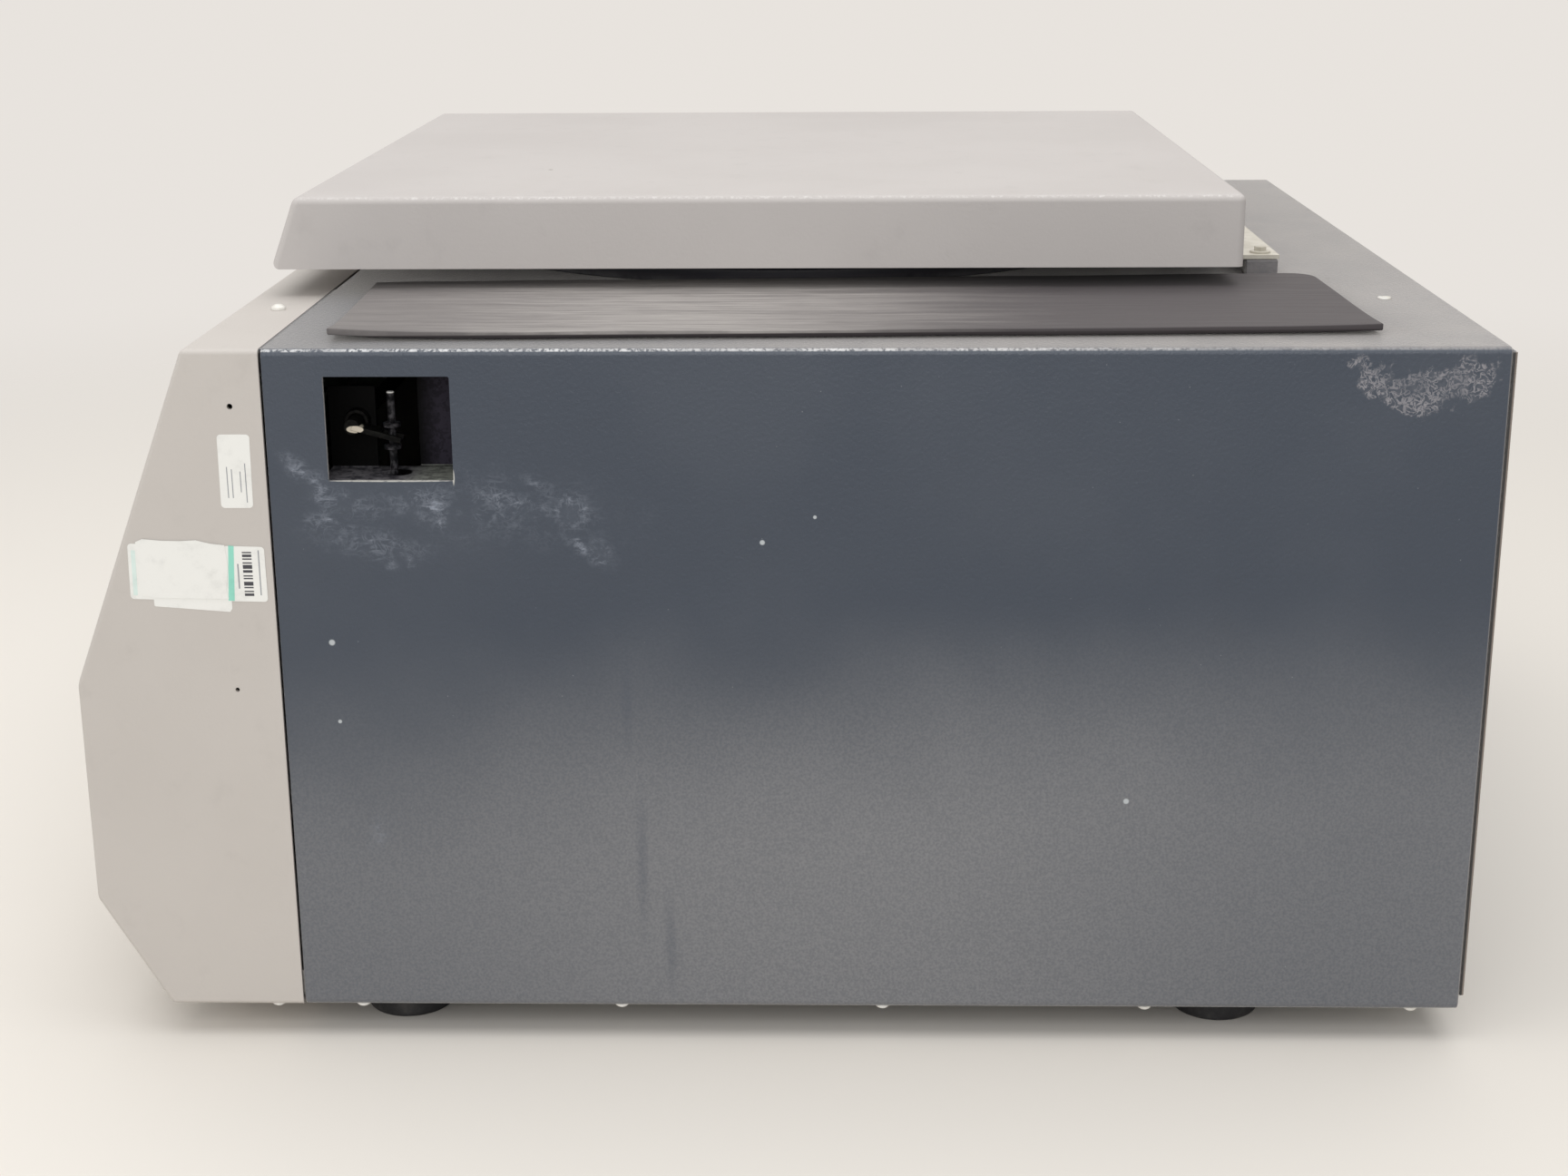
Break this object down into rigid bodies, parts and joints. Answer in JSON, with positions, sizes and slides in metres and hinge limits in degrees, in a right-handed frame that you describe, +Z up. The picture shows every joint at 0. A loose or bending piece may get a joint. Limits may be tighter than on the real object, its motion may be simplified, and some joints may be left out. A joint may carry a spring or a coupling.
{
  "type": "benchtop centrifuge",
  "caption": "Wide benchtop centrifuge with an offset hinged lid, a swing-out rotor, a release window in its side and a rubber mat on its deck.",
  "frame": {"origin": "under the middle of the machine, on the surface that its feet stand on", "axes": "+X to the machine's right side, +Y to its rear, +Z up"},
  "size_m": [0.5784, 0.6098, 0.3627],
  "materials": {
    "dark_paint": "textured satin",
    "light_paint": "fine-textured satin",
    "lid_paint": "fine-textured satin",
    "mat_rubber": "worn flat rubber",
    "black_rubber": "matte",
    "collar_rubber": "satin",
    "zinc": "zinc plated",
    "stainless": "spun satin",
    "steel": "ground",
    "cast_grey": "primed",
    "black_enamel": "gloss enamel",
    "aluminium": "machined",
    "foam": "closed-cell foam",
    "ivory": "yellowed plating",
    "ivory_plastic": "satin moulded",
    "black_plastic": "satin moulded",
    "circuit_board": "lacquered laminate",
    "smoked_window": "polished",
    "green_plastic": "satin moulded",
    "red_plastic": "satin moulded",
    "fascia_film": "fine matt film"
  },
  "bodies": {
    "chassis": {"base_pan": "zinc", "body_cover": "dark_paint", "front_shell": "light_paint", "rear_panel": "dark_paint", "foot_front_left": "black_rubber", "foot_front_right": "black_rubber", "foot_rear_left": "black_rubber", "foot_rear_right": "black_rubber", "side_mat": "mat_rubber", "chamber_bowl": "stainless", "chamber_collar": "collar_rubber", "guard_ring": "cast_grey", "chamber_insulation": "foam", "shaft_boot": "black_rubber", "motor_housing": "cast_grey", "lower_bearing": "steel", "upper_bearing": "steel", "motor_plate": "zinc", "motor_mount_1": "black_rubber", "motor_mount_2": "black_rubber", "motor_mount_3": "black_rubber", "hinge_rail": "dark_paint", "hinge_fixed_leaf": "ivory", "latch_housing": "cast_grey", "release_bracket": "dark_paint", "shaft_bush": "ivory_plastic", "latch_solenoid": "black_plastic", "control_fascia": "fascia_film", "display_window": "smoked_window", "control_board": "circuit_board", "mains_inlet": "black_plastic", "switch_frame": "black_plastic", "fan_frame": "black_plastic", "compressor": "black_enamel", "condenser": "aluminium", "drive_board": "circuit_board"},
    "lid": {"lid_cover": "lid_paint", "lid_liner": "light_paint", "lid_gasket": "black_rubber", "lid_striker": "zinc", "hinge_lid_leaf": "ivory", "hinge_pin": "steel"},
    "rotor": {"rotor_shaft": "steel", "motor_core": "steel", "rotor_yoke": "aluminium", "rotor_nut": "aluminium"},
    "bucket_1": {"bucket_1": "aluminium"},
    "bucket_2": {"bucket_2": "aluminium"},
    "bucket_3": {"bucket_3": "aluminium"},
    "bucket_4": {"bucket_4": "aluminium"},
    "latch": {"latch_shaft": "ivory", "latch_hook": "zinc"},
    "release": {"release_rod": "zinc"},
    "start_key": {"start_button": "green_plastic"},
    "stop_key": {"stop_button": "red_plastic"},
    "lid_key": {"lid_button": "ivory_plastic"},
    "up_key": {"up_button": "ivory_plastic"},
    "down_key": {"down_button": "ivory_plastic"},
    "rocker": {"mains_rocker": "black_plastic"},
    "fan": {"fan_rotor": "black_plastic"}
  },
  "joints": [
    {"name": "lid_hinge", "type": "hinge", "parent": "chassis", "child": "lid", "pos_m": [-0.0514, 0.21845, 0.3273], "axis": [-1, 0, 0], "range_deg": [0, 80]},
    {"name": "rotor_spin", "type": "hinge", "parent": "chassis", "child": "rotor", "pos_m": [-0.0514, -0.00055, 0.248], "axis": [0, 0, 1], "continuous": true},
    {"name": "bucket_1_swing", "type": "hinge", "parent": "rotor", "child": "bucket_1", "pos_m": [0.0166, -0.00055, 0.248], "axis": [0, -1, 0], "range_deg": [0, 90]},
    {"name": "bucket_2_swing", "type": "hinge", "parent": "rotor", "child": "bucket_2", "pos_m": [-0.0514, 0.06745, 0.248], "axis": [1, 0, 0], "range_deg": [0, 90]},
    {"name": "bucket_3_swing", "type": "hinge", "parent": "rotor", "child": "bucket_3", "pos_m": [-0.1194, -0.00055, 0.248], "axis": [0, 1, 0], "range_deg": [0, 90]},
    {"name": "bucket_4_swing", "type": "hinge", "parent": "rotor", "child": "bucket_4", "pos_m": [-0.0514, -0.06855, 0.248], "axis": [-1, 0, 0], "range_deg": [0, 90]},
    {"name": "release_slide", "type": "slide", "parent": "chassis", "child": "release", "axis": [0, 0, 1], "range_m": [0, 0.0046]},
    {"name": "latch_turn", "type": "hinge", "parent": "chassis", "child": "latch", "pos_m": [-0.0514, -0.18085, 0.28], "axis": [1, 0, 0], "range_deg": [0, 16]},
    {"name": "start_press", "type": "slide", "parent": "chassis", "child": "start_key", "axis": [0, 0.934, -0.3574], "range_m": [0, 0.0015], "stiffness_N_per_m": 300, "springref_m": -0.001},
    {"name": "stop_press", "type": "slide", "parent": "chassis", "child": "stop_key", "axis": [0, 0.934, -0.3574], "range_m": [0, 0.0015], "stiffness_N_per_m": 300, "springref_m": -0.001},
    {"name": "lid_press", "type": "slide", "parent": "chassis", "child": "lid_key", "axis": [0, 0.934, -0.3574], "range_m": [0, 0.0015], "stiffness_N_per_m": 300, "springref_m": -0.001},
    {"name": "up_press", "type": "slide", "parent": "chassis", "child": "up_key", "axis": [0, 0.934, -0.3574], "range_m": [0, 0.0015], "stiffness_N_per_m": 300, "springref_m": -0.001},
    {"name": "down_press", "type": "slide", "parent": "chassis", "child": "down_key", "axis": [0, 0.934, -0.3574], "range_m": [0, 0.0015], "stiffness_N_per_m": 300, "springref_m": -0.001},
    {"name": "rocker_tip", "type": "hinge", "parent": "chassis", "child": "rocker", "pos_m": [-0.155, 0.29645, 0.076], "axis": [-1, 0, 0], "range_deg": [0, 18]},
    {"name": "fan_spin", "type": "hinge", "parent": "chassis", "child": "fan", "pos_m": [0.205, 0.28935, 0.126], "axis": [0, 1, 0], "continuous": true}
  ],
  "couplings": [
    {"joint": "latch_turn", "follows": "release_slide", "rad_per_m": 60.241}
  ]
}
